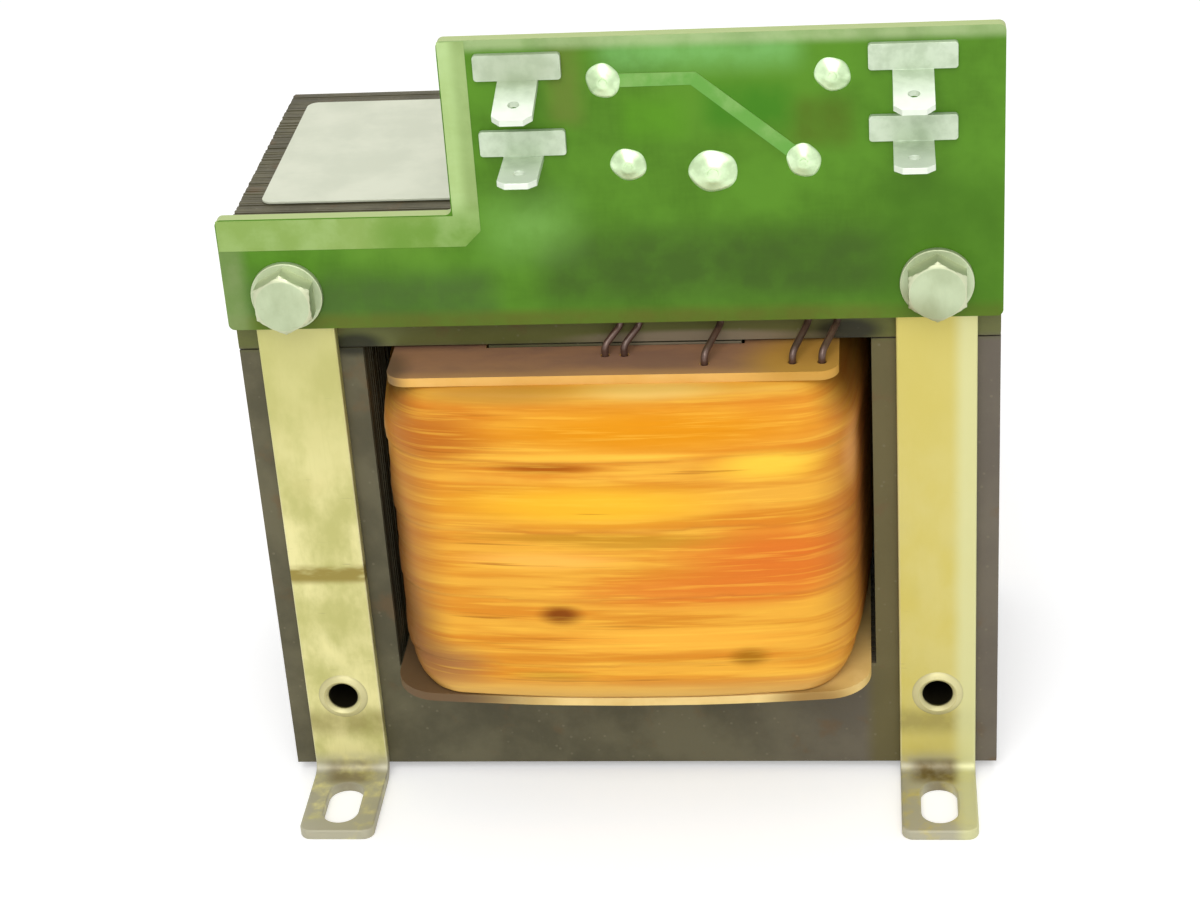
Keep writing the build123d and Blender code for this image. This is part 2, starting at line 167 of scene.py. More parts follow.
# Varnish on the core, cooler to the right and soaked in along the right leg, and a painted reflection of the
# green board below the board
cool_from = 5.0 * mm
cool_to = 45.0 * mm
soaked_left = 31.0 * mm
soaked_right = 36.5 * mm
soaked_soft = 1.2 * mm
board_reflection_low = 65.5 * mm
board_reflection_high = 70.0 * mm
board_reflection_soft = 0.8 * mm

# Tones: the film's pale rims, the upper flange, the front rim where the flange's painted shade gives out, and
# the blades' paler tips
pale_rim = 2.2 * mm
pale_foot = 3.6 * mm
pale_full = 0.4 * mm
flange_from = 40.0 * mm
flange_to = 44.0 * mm
front_rim_from = 29.8 * mm
front_rim_to = 32.4 * mm
tip_from = -28.0 * mm
tip_to = -35.0 * mm

# Straps: painted shade above, dust below, a painted highlight along the right one's edge, painted shade below
# the rivets and in the bends, and a darker line across the left one. The rivets are black inside, partly bare
# steel and partly painted shade
shade_above_from = 36.0 * mm
shade_above_to = 68.0 * mm
dust_from = 5.0 * mm
dust_to = 1.5 * mm
highlight_from = 1.4 * mm
highlight_to = 3.6 * mm
rivet_shade_low = 7.4 * mm
rivet_shade_high = 11.0 * mm
rivet_shade_soft = 1.4 * mm
fold_near = 27.8 * mm
fold_far = 30.0 * mm
fold_core = 1.6 * mm
fold_half = 4.8 * mm
fold_low = 2.0 * mm
fold_high = 3.4 * mm
dark_line_low = 31.6 * mm
dark_line_high = 34.0 * mm
dark_line_soft = 0.6 * mm
bore_margin = 0.6 * mm
bore_soft = 0.3 * mm

# Camera, fitted to the edges of the core. Its focus is in pixels of an image this wide
camera_yaw = math.radians(-6.853)
camera_pitch = math.radians(28.532)
camera_roll = math.radians(4.098)
camera_eye = Vector((32.79, -320.13, 212.33)) * mm
camera_near = 10.0 * mm
image_width = 1200
camera_focus = 2651.2
sensor_width = 36.0

# Light and floor. A lamp has a place, a size and a power, and all of them aim at one point
world_level = 0.50
floor_half = 3.0
floor_grey = 0.86
floor_roughness = 0.9
floor_glow = 0.33
lamp_aim = Vector((0, 0, 0.05))
lamps = {
    "key": (Vector((-0.05, -0.55, 0.62)), 0.5, 2.6),
    "fill": (Vector((0.10, -0.62, 0.36)), 0.5, 1.1),
    "top": (Vector((0.05, 0.25, 0.75)), 0.6, 1.4),
}
white = (1, 1, 1, 1)

# Places read from the frame
e_low, e_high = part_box("e_laminations")
i_low, i_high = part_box("i_laminations")
wrap_low, wrap_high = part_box("coil_wrap")
board_low, board_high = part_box("terminal_board")
bolt_low, bolt_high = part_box("core_bolts")
washer_low, washer_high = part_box("front_washers")
rivet_low, rivet_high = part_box("hollow_rivets")
foot_low, foot_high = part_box("front_right_foot")
thread_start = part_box("core_nuts")[0].y
strap_x = (foot_low.x + foot_high.x) / 2
bolt_z = (washer_low.z + washer_high.z) / 2
rivet_z = (rivet_low.z + rivet_high.z) / 2


def srgb(red, green, blue):
    """Linear colour of an sRGB one given from 0 to 255."""
    linear = [c / 12.92 if c <= 0.04045 else ((c + 0.055) / 1.055) ** 2.4
              for c in (red / 255, green / 255, blue / 255)]
    return (*linear, 1.0)


class Finish:
    """A principled material, wired in short steps. Its textures lie in the object's own metres."""

    def __init__(self, name, constants):
        self.material = bpy.data.materials.new(name)
        self.material.use_nodes = True
        self.tree = self.material.node_tree
        self.shader = self.tree.nodes["Principled BSDF"]
        for label, value in constants.items():
            self.shader.inputs[label].default_value = value
        self.place = self.make("ShaderNodeTexCoord").outputs["Object"]

    def put(self, socket, value):
        """Links a socket to another one, or sets its value."""
        if isinstance(value, bpy.types.NodeSocket):
            self.tree.links.new(value, socket)
        else:
            socket.default_value = value

    def make(self, kind, inputs=None, **settings):
        node = self.tree.nodes.new(kind)
        for label, value in settings.items():
            setattr(node, label, value)
        for label, value in (inputs or {}).items():
            self.put(node.inputs[label], value)
        return node

    def set(self, label, value):
        self.put(self.shader.inputs[label], value)

    def laid(self, size, stretch):
        """The place in steps of this size, drawn out along the axes."""
        scale = [1 / (size * s) for s in stretch]
        return self.make("ShaderNodeMapping", {"Vector": self.place, "Scale": scale}).outputs["Vector"]

    def grain(self, size, stretch=(1, 1, 1), detail=4):
        """Noise from 0 to 1 with features about this long, drawn out along the axes."""
        place = self.laid(size, stretch)
        inputs = {"Vector": place, "Scale": 1.0, "Detail": detail, "Roughness": grain_roughness}
        return self.make("ShaderNodeTexNoise", inputs).outputs["Fac"]

    def cells(self, size):
        """Distance from the nearest of a scatter of points about this far apart, in those steps."""
        inputs = {"Vector": self.laid(size, (1, 1, 1)), "Scale": 1.0}
        return self.make("ShaderNodeTexVoronoi", inputs).outputs["Distance"]

    def span(self, value, low, high):
        """Smooth step from 0 at low to 1 at high."""
        inputs = {"Value": value, "From Min": low, "From Max": high}
        return self.make("ShaderNodeMapRange", inputs, interpolation_type="SMOOTHSTEP").outputs["Result"]

    def spread(self, value, low, high):
        """Lays a value from 0 to 1 out between low and high."""
        inputs = {"Value": value, "To Min": low, "To Max": high}
        return self.make("ShaderNodeMapRange", inputs).outputs["Result"]

    def compute(self, operation, first, second=0.0):
        return self.make("ShaderNodeMath", {0: first, 1: second}, operation=operation).outputs["Value"]

    def times(self, first, second):
        return self.compute("MULTIPLY", first, second)

    def without_sign(self, value):
        return self.compute("ABSOLUTE", value)

    def blend(self, factor, first, second):
        """The first colour where a factor is 0, the second where it is 1."""
        node = self.make("ShaderNodeMix", data_type="RGBA")
        for index, value in ((0, factor), (6, first), (7, second)):
            self.put(node.inputs[index], value)
        return node.outputs[2]

    def along(self, axis):
        return self.make("ShaderNodeSeparateXYZ", {"Vector": self.place}).outputs[axis]

    def facing(self, axis):
        """How squarely the surface faces along an axis, from -1 to 1."""
        normal = self.make("ShaderNodeNewGeometry").outputs["True Normal"]
        return self.make("ShaderNodeSeparateXYZ", {"Vector": normal}).outputs[axis]

    def edges(self):
        """1 on bevelled edges of a square-cut piece, 0 on its faces."""
        most = 0.0
        for axis in "XYZ":
            most = self.compute("MAXIMUM", self.without_sign(self.facing(axis)), most)
        return self.span(most, square_face, turned_edge)

    def spot(self, centre, radii, soft):
        """1 near a place, falling to 0 at these radii from it."""
        moved = self.make("ShaderNodeVectorMath", {0: self.place, 1: centre}, operation="SUBTRACT")
        scaled = self.make("ShaderNodeVectorMath", {0: moved.outputs[0], 1: radii}, operation="DIVIDE")
        distance = self.make("ShaderNodeVectorMath", {0: scaled.outputs[0]}, operation="LENGTH")
        return self.span(distance.outputs["Value"], 1.0, 1.0 - soft)

    def band(self, axis, low, high, soft):
        """1 between two places along an axis, with soft ends."""
        place = self.along(axis)
        rise = self.span(place, low - soft, low + soft)
        return self.times(rise, self.span(place, high + soft, high - soft))

    def patch(self, x_low, x_high, z_low, z_high, soft):
        """1 in a box of the front view in millimetres, with soft edges."""
        across = self.band("X", x_low * mm, x_high * mm, soft * mm)
        return self.times(across, self.band("Z", z_low * mm, z_high * mm, soft * mm))

    def ground(self, mask, first, second):
        """Starts the colour, with one tone where a mask is 0 and another where it is 1."""
        self.colour = self.blend(mask, first, second)

    def lay(self, mask, tone, weight=1.0):
        """Lays a tone over the colour where a mask shows."""
        self.colour = self.blend(self.times(mask, weight), self.colour, tone)

    def lay_spots(self, marks, soft, where=1.0):
        """Lays a table of spots over the colour: centre and radii in millimetres, tone and weight."""
        for centre, radii, tone, weight in marks:
            mark = self.spot(Vector(centre) * mm, Vector(radii) * mm, soft)
            self.lay(self.times(mark, where), tone, weight)

    def bump(self, height, distance, strength):
        """Fine relief, this deep at full height."""
        inputs = {"Height": height, "Distance": distance, "Strength": strength}
        self.set("Normal", self.make("ShaderNodeBump", inputs).outputs["Normal"])

    def done(self):
        """The material, with its colour wired in."""
        self.set("Base Color", self.colour)
        return self.material


# Painted shadow of the board at the window's upper corners, and painted light on the paler stretch between
# them, on the core's
# front: centre and radii in millimetres, colour and weight
core_shadow_and_light = (
    ((-33.0, -24.0, 65.9), (5.0, 4.0, 2.2), srgb(24, 24, 4), 0.90),
    ((29.0, -24.0, 66.6), (6.0, 4.0, 2.4), srgb(24, 20, 4), 0.90),
    ((10.0, -24.0, 66.0), (20.0, 4.0, 1.4), srgb(146, 132, 112), 0.80),
)


def lamination_steel():
    """Dark varnished steel. Each sheet has its own shade, and the varnish is blotched."""
    finish = Finish("lamination_steel", {"Metallic": 0.15, "Specular IOR Level": 0.35})
    sheet = finish.compute("FLOOR", finish.compute("DIVIDE", finish.along("Y"), sheet_pitch))
    shade = finish.make("ShaderNodeTexWhiteNoise", {"W": sheet}, noise_dimensions="1D").outputs["Value"]
    blotch = finish.grain(9 * mm, detail=6)
    fine = finish.grain(0.5 * mm, detail=5)
    finish.ground(finish.span(blotch, *even_parting), srgb(82, 78, 56), srgb(104, 99, 74))
    finish.lay(shade, srgb(62, 58, 46), 0.5)
    finish.lay(finish.span(finish.along("X"), cool_from, cool_to), srgb(108, 98, 92), 0.55)
    ahead = finish.span(finish.facing("Y"), -0.8, -0.95)
    front = finish.times(ahead, 0.65)
    finish.lay(finish.band("X", soaked_left, soaked_right, soaked_soft), srgb(96, 88, 36), front)
    # Painted reflection of the green board on the core's front, just below the board
    finish.lay(finish.band("Z", board_reflection_low, board_reflection_high, board_reflection_soft), srgb(98, 106, 40), front)
    # Painted shadow and painted light under the board, on the front only
    finish.lay_spots(core_shadow_and_light, soft=0.6, where=ahead)
    rust = finish.span(finish.grain(5 * mm, detail=8), 0.58, 0.72)
    finish.lay(rust, srgb(104, 80, 50), 0.5)
    fleck = finish.span(finish.cells(1.6 * mm), 0.16, 0.06)
    finish.lay(fleck, srgb(128, 122, 98), 0.35)
    finish.set("Roughness", finish.spread(fine, 0.42, 0.66))
    finish.bump(finish.blend(0.5, fine, blotch), 0.03 * mm, 0.6)
    return finish.done()


# Zones and stains of the coil, in the same form. The brownish zone low at the left is partly a stain and
# partly painted shade at the coil's rounded lower corner
coil_zones = (
    ((-24.0, -34.0, 57.5), (12.0, 9.0, 6.5), srgb(186, 104, 28), 0.85),
    ((4.0, -34.0, 58.5), (29.0, 9.0, 4.8), srgb(230, 148, 10), 0.90),
    ((19.0, -34.0, 53.0), (10.0, 9.0, 3.0), srgb(255, 206, 66), 0.85),
    ((-4.0, -34.0, 48.0), (24.0, 9.0, 4.2), srgb(252, 192, 44), 0.80),
    ((4.0, -34.0, 42.4), (18.0, 9.0, 1.3), srgb(200, 146, 40), 0.75),
    ((-10.0, -34.0, 39.9), (15.0, 9.0, 1.7), srgb(255, 190, 84), 0.80),
    ((21.0, -34.0, 39.0), (20.0, 9.0, 7.5), srgb(220, 114, 38), 0.90),
    ((-18.0, -34.0, 33.0), (12.0, 9.0, 2.6), srgb(220, 140, 40), 0.60),
    ((6.0, -34.0, 27.8), (24.0, 9.0, 2.6), srgb(252, 184, 66), 0.70),
    ((-25.0, -34.0, 23.5), (10.0, 12.0, 5.0), srgb(150, 106, 68), 0.75),
    ((-2.0, -35.0, 54.9), (22.0, 9.0, 0.9), srgb(255, 190, 66), 0.90),
    ((-9.0, -35.0, 53.3), (10.0, 9.0, 1.0), srgb(168, 86, 6), 0.95),
    ((-4.0, -35.0, 43.2), (22.0, 9.0, 1.0), srgb(198, 140, 34), 0.90),
    ((10.0, -35.0, 35.2), (24.0, 9.0, 3.8), srgb(222, 122, 42), 0.75),
    ((-8.1, -35.0, 31.8), (3.9, 9.0, 2.0), srgb(128, 62, 4), 0.95),
    ((15.8, -35.0, 25.0), (3.6, 9.0, 2.0), srgb(164, 106, 12), 0.90),
    ((-10.0, -35.0, 22.4), (7.0, 9.0, 1.1), srgb(190, 138, 38), 0.70),
)

# Painted shade and painted highlights along the film's upper rim and the coil's rounded edges, with painted
# shadow of the board at the upper corners; the dark ones low on the left are partly stain
film_shade_and_highlights = (
    ((-15.0, -34.0, 63.6), (17.0, 9.0, 2.2), srgb(186, 132, 48), 0.75),
    ((5.0, -34.0, 63.8), (12.0, 9.0, 1.6), srgb(228, 190, 104), 0.60),
    ((-30.0, -28.0, 38.0), (9.5, 20.0, 40.0), srgb(164, 110, 58), 0.75),
    ((34.0, -24.0, 41.5), (12.0, 20.0, 44.0), srgb(160, 90, 48), 0.85),
    ((-31.0, -25.0, 36.0), (6.0, 13.0, 26.0), srgb(92, 52, 14), 0.85),
    ((-31.0, -25.0, 27.0), (11.0, 16.0, 14.0), srgb(108, 66, 28), 0.80),
    ((-30.0, -25.5, 55.0), (2.6, 4.5, 5.0), srgb(234, 196, 134), 0.45),
    ((32.0, -26.0, 63.5), (9.5, 18.0, 9.5), srgb(60, 30, 8), 0.95),
    ((-31.0, -26.0, 64.0), (9.5, 18.0, 8.0), srgb(40, 24, 4), 0.98),
    ((30.0, -28.5, 52.0), (2.6, 7.0, 7.0), srgb(236, 172, 104), 0.70),
    ((-31.5, -27.0, 43.0), (5.0, 14.0, 13.0), srgb(92, 52, 14), 0.75),
)


def amber_film():
    """Amber film over copper turns: long streaks, thin dark ones, paler rims, stains, and painted shade and
    highlights along its edges.
    """
    finish = Finish("amber_film", {"Specular IOR Level": 0.1})
    streak = finish.grain(1.9 * mm, (18, 18, 1), detail=3)
    fine = finish.grain(0.5 * mm, (26, 26, 1), detail=3)
    thin = finish.grain(0.8 * mm, (34, 34, 1), detail=2)
    cloud = finish.grain(12 * mm, (1.8, 1.8, 0.7))
    finish.ground(finish.span(streak, 0.36, 0.62), srgb(216, 138, 38), srgb(236, 172, 60))
    finish.lay(finish.span(cloud, 0.50, 0.66), srgb(220, 130, 34), 0.5)
    finish.lay_spots(coil_zones, soft=0.8)
    finish.lay(finish.span(fine, 0.50, 0.72), srgb(255, 206, 76), 0.32)
    finish.lay(finish.span(thin, 0.64, 0.78), srgb(160, 86, 8), 0.72)
    height = finish.along("Z")
    finish.lay(finish.span(height, wrap_high.z - pale_rim, wrap_high.z - pale_full), srgb(220, 170, 66), 0.7)
    finish.lay(finish.span(height, wrap_low.z + pale_foot, wrap_low.z + pale_full), srgb(206, 168, 94), 0.75)
    # Painted shade and painted highlights along the film's edges
    finish.lay_spots(film_shade_and_highlights, soft=0.8)
    finish.set("Roughness", finish.spread(fine, 0.30, 0.52))
    finish.bump(finish.grain(0.35 * mm, (12, 12, 1), detail=3), 0.04 * mm, 0.5)
    return finish.done()


# Zones of the bare board and of the copper under the mask, in the front view in millimetres:
# low and high x, low and high z, softness, colour and weight
board_zones = (
    # Painted shade: the dark zone across the middle of the lower strip
    (-8.0, 36.0, 72.8, 82.0, 3.0, srgb(60, 88, 28), 0.85),
    (-46.0, -14.0, 70.0, 77.0, 2.5, srgb(69, 97, 42), 0.80),
    (-32.0, -20.0, 78.0, 83.0, 2.5, srgb(100, 146, 46), 0.60),
    (-14.0, -4.0, 79.5, 86.5, 4.0, srgb(118, 168, 76), 0.85),
    (-48.0, 48.0, 68.0, 71.6, 0.9, srgb(95, 101, 34), 0.80),
    (33.0, 49.0, 70.0, 88.0, 3.0, srgb(66, 110, 20), 0.75),
    (-5.6, -1.6, 96.0, 106.0, 1.4, srgb(102, 120, 46), 0.75),
    (23.0, 30.0, 92.5, 98.5, 1.6, srgb(80, 104, 22), 0.80),
    (13.0, 23.0, 95.0, 100.5, 1.8, srgb(58, 122, 20), 0.80),
    (1.0, 24.0, 103.0, 106.5, 2.4, srgb(124, 184, 102), 0.80),
    (3.0, 10.5, 94.0, 99.0, 1.8, srgb(88, 146, 28), 0.70),
    (-20.0, 50.0, 105.6, 109.0, 0.7, srgb(172, 192, 138), 0.75),
    (-50.0, -45.2, 69.0, 82.0, 1.2, srgb(128, 148, 92), 0.80),
)
copper_zones = (
    (-50.0, -20.5, 76.0, 86.0, 1.0, srgb(134, 163, 79), 0.90),
    (-16.7, -12.0, 85.0, 108.0, 0.8, srgb(140, 164, 98), 0.80),
    (-28.0, -12.0, 76.0, 85.0, 3.0, srgb(110, 150, 58), 0.95),
    (-2.0, 34.0, 87.0, 104.0, 1.0, srgb(104, 162, 70), 1.00),
)


def green_mask(name, light, dark, edge, zones):
    """Solder mask on glass laminate. The cut edges show the bare laminate."""
    finish = Finish(name, {"Specular IOR Level": 0.14})
    cloud = finish.grain(10 * mm)
    fine = finish.grain(0.8 * mm, detail=5)
    warp = finish.grain(0.45 * mm, (6, 1, 1), detail=2)
    weft = finish.grain(0.45 * mm, (1, 1, 6), detail=2)
    weave = finish.times(warp, weft)
    finish.ground(finish.span(cloud, *soft_parting), light, dark)
    finish.lay(finish.span(weave, 0.16, 0.36), light, 0.22)
    uneven = finish.span(finish.grain(3.5 * mm), 0.30, 0.62)
    for *box, tone, weight in zones:
        finish.lay(finish.patch(*box), tone, finish.spread(uneven, zone_thinnest * weight, weight))
    side = finish.span(finish.without_sign(finish.facing("Y")), 0.6, 0.3)
    finish.lay(side, edge)
    finish.set("Roughness", finish.spread(fine, 0.32, 0.52))
    finish.bump(finish.blend(0.4, weave, fine), 0.02 * mm, 0.5)
    return finish.done()


def plated_steel(name, light, dark, tint, metal):
    """Plated steel: rolled grain, cloudy passivation, rubbed edges and a few scuffs."""
    finish = Finish(name, {"Metallic": metal})
    grain = finish.grain(0.35 * mm, (1, 1, 14))
    cloud = finish.grain(6 * mm, (1, 1, 1.6), detail=5)
    tinted = finish.grain(14 * mm, detail=3)
    scuff = finish.grain(0.6 * mm, (9, 9, 1), detail=2)
    finish.ground(finish.span(cloud, *soft_parting), light, dark)
    finish.lay(finish.span(tinted, 0.52, 0.7), tint, 0.5)
    finish.lay(finish.span(grain, 0.52, 0.75), dark, 0.18)
    finish.lay(finish.span(scuff, 0.70, 0.78), srgb(132, 122, 84), 0.35)
    finish.lay(finish.edges(), srgb(222, 218, 186), 0.35)
    finish.set("Roughness", finish.spread(cloud, 0.38, 0.60))
    finish.bump(grain, 0.015 * mm, 0.5)
    return finish


def strap_steel(name, light, dark, tint, lined=False, highlight_weight=0.0, bend_shade=0.7):
    """Yellow passivated strap, dusty at its foot, with painted shade at its top, below its rivet and in its
    bend. One has a painted highlight along its edge and one a darker line across it.
    """
    finish = plated_steel(name, light, dark, tint, metal=0.3)
    height = finish.along("Z")
    # Painted shade towards the top
    finish.lay(finish.span(height, shade_above_from, shade_above_to), dark, 0.8)
    settled = finish.span(finish.grain(3.0 * mm), 0.20, 0.52)
    finish.lay(finish.span(height, dust_from, dust_to), srgb(178, 174, 150), settled)
    blotch = finish.spread(finish.span(finish.grain(2.6 * mm, detail=6), 0.30, 0.62), 0.65, 1.0)
    # Painted shade below the rivet
    rivet_shade = finish.times(finish.band("Z", rivet_shade_low, rivet_shade_high, rivet_shade_soft), blotch)
    finish.lay(rivet_shade, srgb(140, 128, 66), 0.65)
    # Painted shade in the bend
    near = finish.span(finish.without_sign(finish.along("Y")), fold_far, fold_near)
    across = finish.compute("SUBTRACT", finish.without_sign(finish.along("X")), strap_x)
    inner = finish.span(finish.without_sign(across), fold_half, fold_core)
    fold = finish.times(near, finish.span(height, fold_high, fold_low))
    fold = finish.times(finish.times(fold, inner), blotch)
    finish.lay(fold, srgb(96, 76, 10), bend_shade)
    # Painted highlight along the right edge
    highlight_band = finish.span(finish.along("X"), strap_x + highlight_from, strap_x + highlight_to)
    finish.lay(highlight_band, srgb(212, 212, 156), highlight_weight)
    if lined:
        # A darker line across the strap
        line = finish.band("Z", dark_line_low, dark_line_high, dark_line_soft)
        broken = finish.span(finish.grain(2.2 * mm, (2, 1, 0.6), detail=3), 0.20, 0.55)
        finish.lay(line, srgb(150, 134, 60), broken)
    return finish.done()


# Painted shade low on the right bolt's left side, in the form of the other spot tables
bolt_shade = (((37.0, -28.0, 71.0), (7.0, 7.0, 5.0), srgb(132, 134, 92), 0.75),)


def zinc_steel():
    """Pale zinc of bolts, nuts and washers, with painted shade low on the right bolt."""
    light, dark, tint = srgb(190, 203, 168), srgb(168, 180, 144), srgb(182, 190, 154)
    finish = plated_steel("zinc_steel", light, dark, tint, metal=0.6)
    # Painted shade low on the right bolt
    finish.lay_spots(bolt_shade, soft=0.8)
    return finish.done()


def rivet_steel():
    """Plated rivet with a bore painted black: partly bare dark steel, partly painted shade."""
    light, dark, tint = srgb(202, 194, 124), srgb(178, 168, 96), srgb(160, 148, 80)
    finish = plated_steel("rivet_steel", light, dark, tint, metal=0.3)
    # Bore painted black, partly as painted shade
    inside = finish.band("Y", rivet_low.y + bore_margin, rivet_high.y - bore_margin, bore_soft)
    finish.lay(inside, srgb(26, 22, 8))
    return finish.done()


def bright_metal(name, light, dark, rough_low, rough_high, metal):
    """Tinned brass or solder: soft cloudy lustre with fine pits."""
    finish = Finish(name, {"Metallic": metal})
    cloud = finish.grain(1.8 * mm, detail=5)
    pits = finish.cells(0.5 * mm)
    finish.ground(finish.span(cloud, *even_parting), light, dark)
    finish.lay(finish.span(pits, 0.2, 0.05), dark, 0.3)
    finish.set("Roughness", finish.spread(cloud, rough_low, rough_high))
    finish.bump(cloud, 0.02 * mm, 0.6)
    return finish


# A dull place on the upper left blade
blade_stains = (((-9.0, -26.0, 103.6), (9.0, 5.0, 3.6), srgb(158, 168, 138), 0.5),)


def blade_metal():
    """Tinned brass, dull at the foot and paler towards the tip."""
    finish = bright_metal("tinned_brass", srgb(198, 212, 187), srgb(180, 196, 168), 0.34, 0.54, 0.3)
    finish.lay(finish.span(finish.along("Y"), tip_from, tip_to), srgb(238, 246, 232), 0.75)
    finish.lay_spots(blade_stains, soft=0.5)
    return finish.done()


def fibre_board(name, light, dark):
    """Fibrous board or paper, a little glossy where varnish has soaked in."""
    finish = Finish(name, {"Specular IOR Level": 0.3})
    fibre = finish.grain(0.5 * mm, (7, 2, 1), detail=5)
    cloud = finish.grain(8 * mm)
    finish.ground(finish.span(cloud, *even_parting), light, dark)
    finish.lay(finish.span(fibre, 0.52, 0.75), dark, 0.3)
    finish.set("Roughness", finish.spread(cloud, 0.42, 0.75))
    finish.bump(fibre, 0.03 * mm, 0.6)
    return finish


# Marks on the former's flanges. The one at the upper flange's left end is painted shade; the one at the lower
# flange's left corner is partly stain and partly painted shade
flange_marks = (
    ((-29.0, -30.0, 64.6), (5.0, 7.0, 3.0), srgb(92, 72, 52), 0.80),
    ((-31.0, -29.0, 18.4), (25.0, 18.0, 4.0), srgb(92, 68, 46), 0.95),
    ((24.0, -36.0, 18.0), (8.0, 7.0, 3.0), srgb(136, 98, 42), 0.80),
    ((25.0, -29.0, 65.0), (11.0, 10.0, 3.0), srgb(194, 144, 56), 0.85),
)


def flange_board():
    """Pressed board of the former: pale cut edges, and an upper face brown, partly with varnish and partly
    painted shade of the board above, paler towards its front rim.
    """
    finish = fibre_board("former_board", srgb(236, 206, 136), srgb(220, 186, 112))
    upper = finish.span(finish.facing("Z"), 0.5, 0.9)
    above = finish.span(finish.along("Z"), flange_from, flange_to)
    mottle = finish.span(finish.grain(6 * mm, (2, 1, 1), detail=5), *even_parting)
    toward_rim = finish.span(finish.without_sign(finish.along("Y")), front_rim_from, front_rim_to)
    # Upper face brown: partly varnish, partly painted shade of the board, paler towards the front rim
    tone = finish.blend(mottle, srgb(158, 116, 84), srgb(138, 102, 80))
    tone = finish.blend(finish.times(toward_rim, 0.45), tone, srgb(204, 152, 90))
    finish.lay(above, srgb(228, 164, 62), 0.6)
    finish.lay(upper, tone, above)
    finish.lay_spots(flange_marks, soft=0.6)
    return finish.done()


def coated_wire(name, light, dark, turn):
    """Copper wire under enamel or a sleeve."""
    finish = Finish(name, {"Metallic": 0.4, "Coat Weight": 0.4, "Coat Roughness": 0.25})
    cloud = finish.grain(2.5 * mm)
    turns = finish.grain(0.5 * mm, (30, 30, 1), detail=2)
    finish.ground(finish.span(cloud, 0.3, 0.7), light, dark)
    finish.lay(turns, turn, 0.4)
    finish.set("Roughness", finish.spread(cloud, 0.28, 0.48))
    finish.bump(turns, 0.03 * mm, 0.5)
    return finish.done()


def show(name, mesh, material, slot, *replaced):
    """Puts a mesh in the scene as a piece of the object."""
    mesh.materials.append(material)
    made = bpy.data.objects.new(name, mesh)
    bpy.context.scene.collection.objects.link(made)
    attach(made, "root")
    if replaced:
        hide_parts(*replaced)


def mesh_from(name, points, faces, sharp=sharp_angle):
    """A smooth mesh, sharp where it turns by more than an angle."""
    mesh = bpy.data.meshes.new(name)
    mesh.from_pydata([tuple(p) for p in points], [], [tuple(f) for f in faces])
    mesh.shade_smooth()
    mesh.set_sharp_from_angle(angle=sharp)
    mesh.update()
    return mesh


def ring_faces(rows, columns, first=0):
    """Quads between rings of points, one ring after another."""
    faces = []
    for row in range(rows - 1):
        for column in range(columns):
            after = (column + 1) % columns
            low = first + row * columns
            high = low + columns
            faces.append((low + column, low + after, high + after, high + column))
    return faces


def circle(centre_x, centre_z, radius):
    """Points round a hole, with the material on their left."""
    step = -2 * math.pi / hole_segments
    turns = [k * step for k in range(hole_segments)]
    return [(centre_x + radius * math.cos(turn), centre_z + radius * math.sin(turn)) for turn in turns]


def inset(loop, distance):
    """A closed outline moved to its left."""
    moved = []
    for k, point in enumerate(loop):
        here = Vector(point)
        before = (here - Vector(loop[k - 1])).normalized()
        after = (Vector(loop[(k + 1) % len(loop)]) - here).normalized()
        sides = Vector((-before.y - after.y, before.x + after.x))
        moved.append(here + sides * distance / (1 + before.dot(after)))
    return moved


def stamped_sheet(loops):
    """Points and faces of one stamped sheet with broken edges. Its thickness is given as 1."""
    rims = [inset(loop, sheet_edge) for loop in loops]
    broken = sheet_gap / sheet_pitch / 2
    levels = ((rims, 0.0), (loops, broken), (loops, 1 - broken), (rims, 1.0))
    triangles = tessellate_polygon([[Vector((x, z, 0)) for x, z in loop] for loop in rims])
    count = sum(len(loop) for loop in loops)
    shape = bmesh.new()
    for outlines, share in levels:
        for loop in outlines:
            for x, z in loop:
                shape.verts.new((x, share, z))
    shape.verts.ensure_lookup_table()
    back = (len(levels) - 1) * count
    for triangle in triangles:
        shape.faces.new([shape.verts[k] for k in triangle])
        shape.faces.new([shape.verts[k + back] for k in reversed(triangle)])
    for level in range(len(levels) - 1):
        start = level * count
        for loop in loops:
            for k in range(len(loop)):
                near = start + k
                far = start + (k + 1) % len(loop)
                shape.faces.new([shape.verts[v] for v in (near, far, far + count, near + count)])
            start += len(loop)
    bmesh.ops.recalc_face_normals(shape, faces=shape.faces)
    points = [tuple(v.co) for v in shape.verts]
    faces = [[v.index for v in f.verts] for f in shape.faces]
    shape.free()
    return points, faces


def stacked_sheets(name, loops, depth_low, depth_high, replaced):
    """A stack of stamped steel sheets, each one set a little off the next."""
    pattern, pattern_faces = stamped_sheet(loops)
    points, faces = [], []
    sheets = round((depth_high - depth_low) / sheet_pitch)
    pitch = (depth_high - depth_low) / sheets
    for sheet in range(sheets):
        shift_x = chance.uniform(-sheet_shift, sheet_shift)
        shift_z = chance.uniform(-sheet_shift, sheet_shift)
        base = len(points)
        for x, share, z in pattern:
            points.append((x + shift_x, depth_low + (sheet + share) * pitch, z + shift_z))
        faces.extend([[base + k for k in face] for face in pattern_faces])
    show(name, mesh_from(name, points, faces), steel, "lamination_steel", replaced)


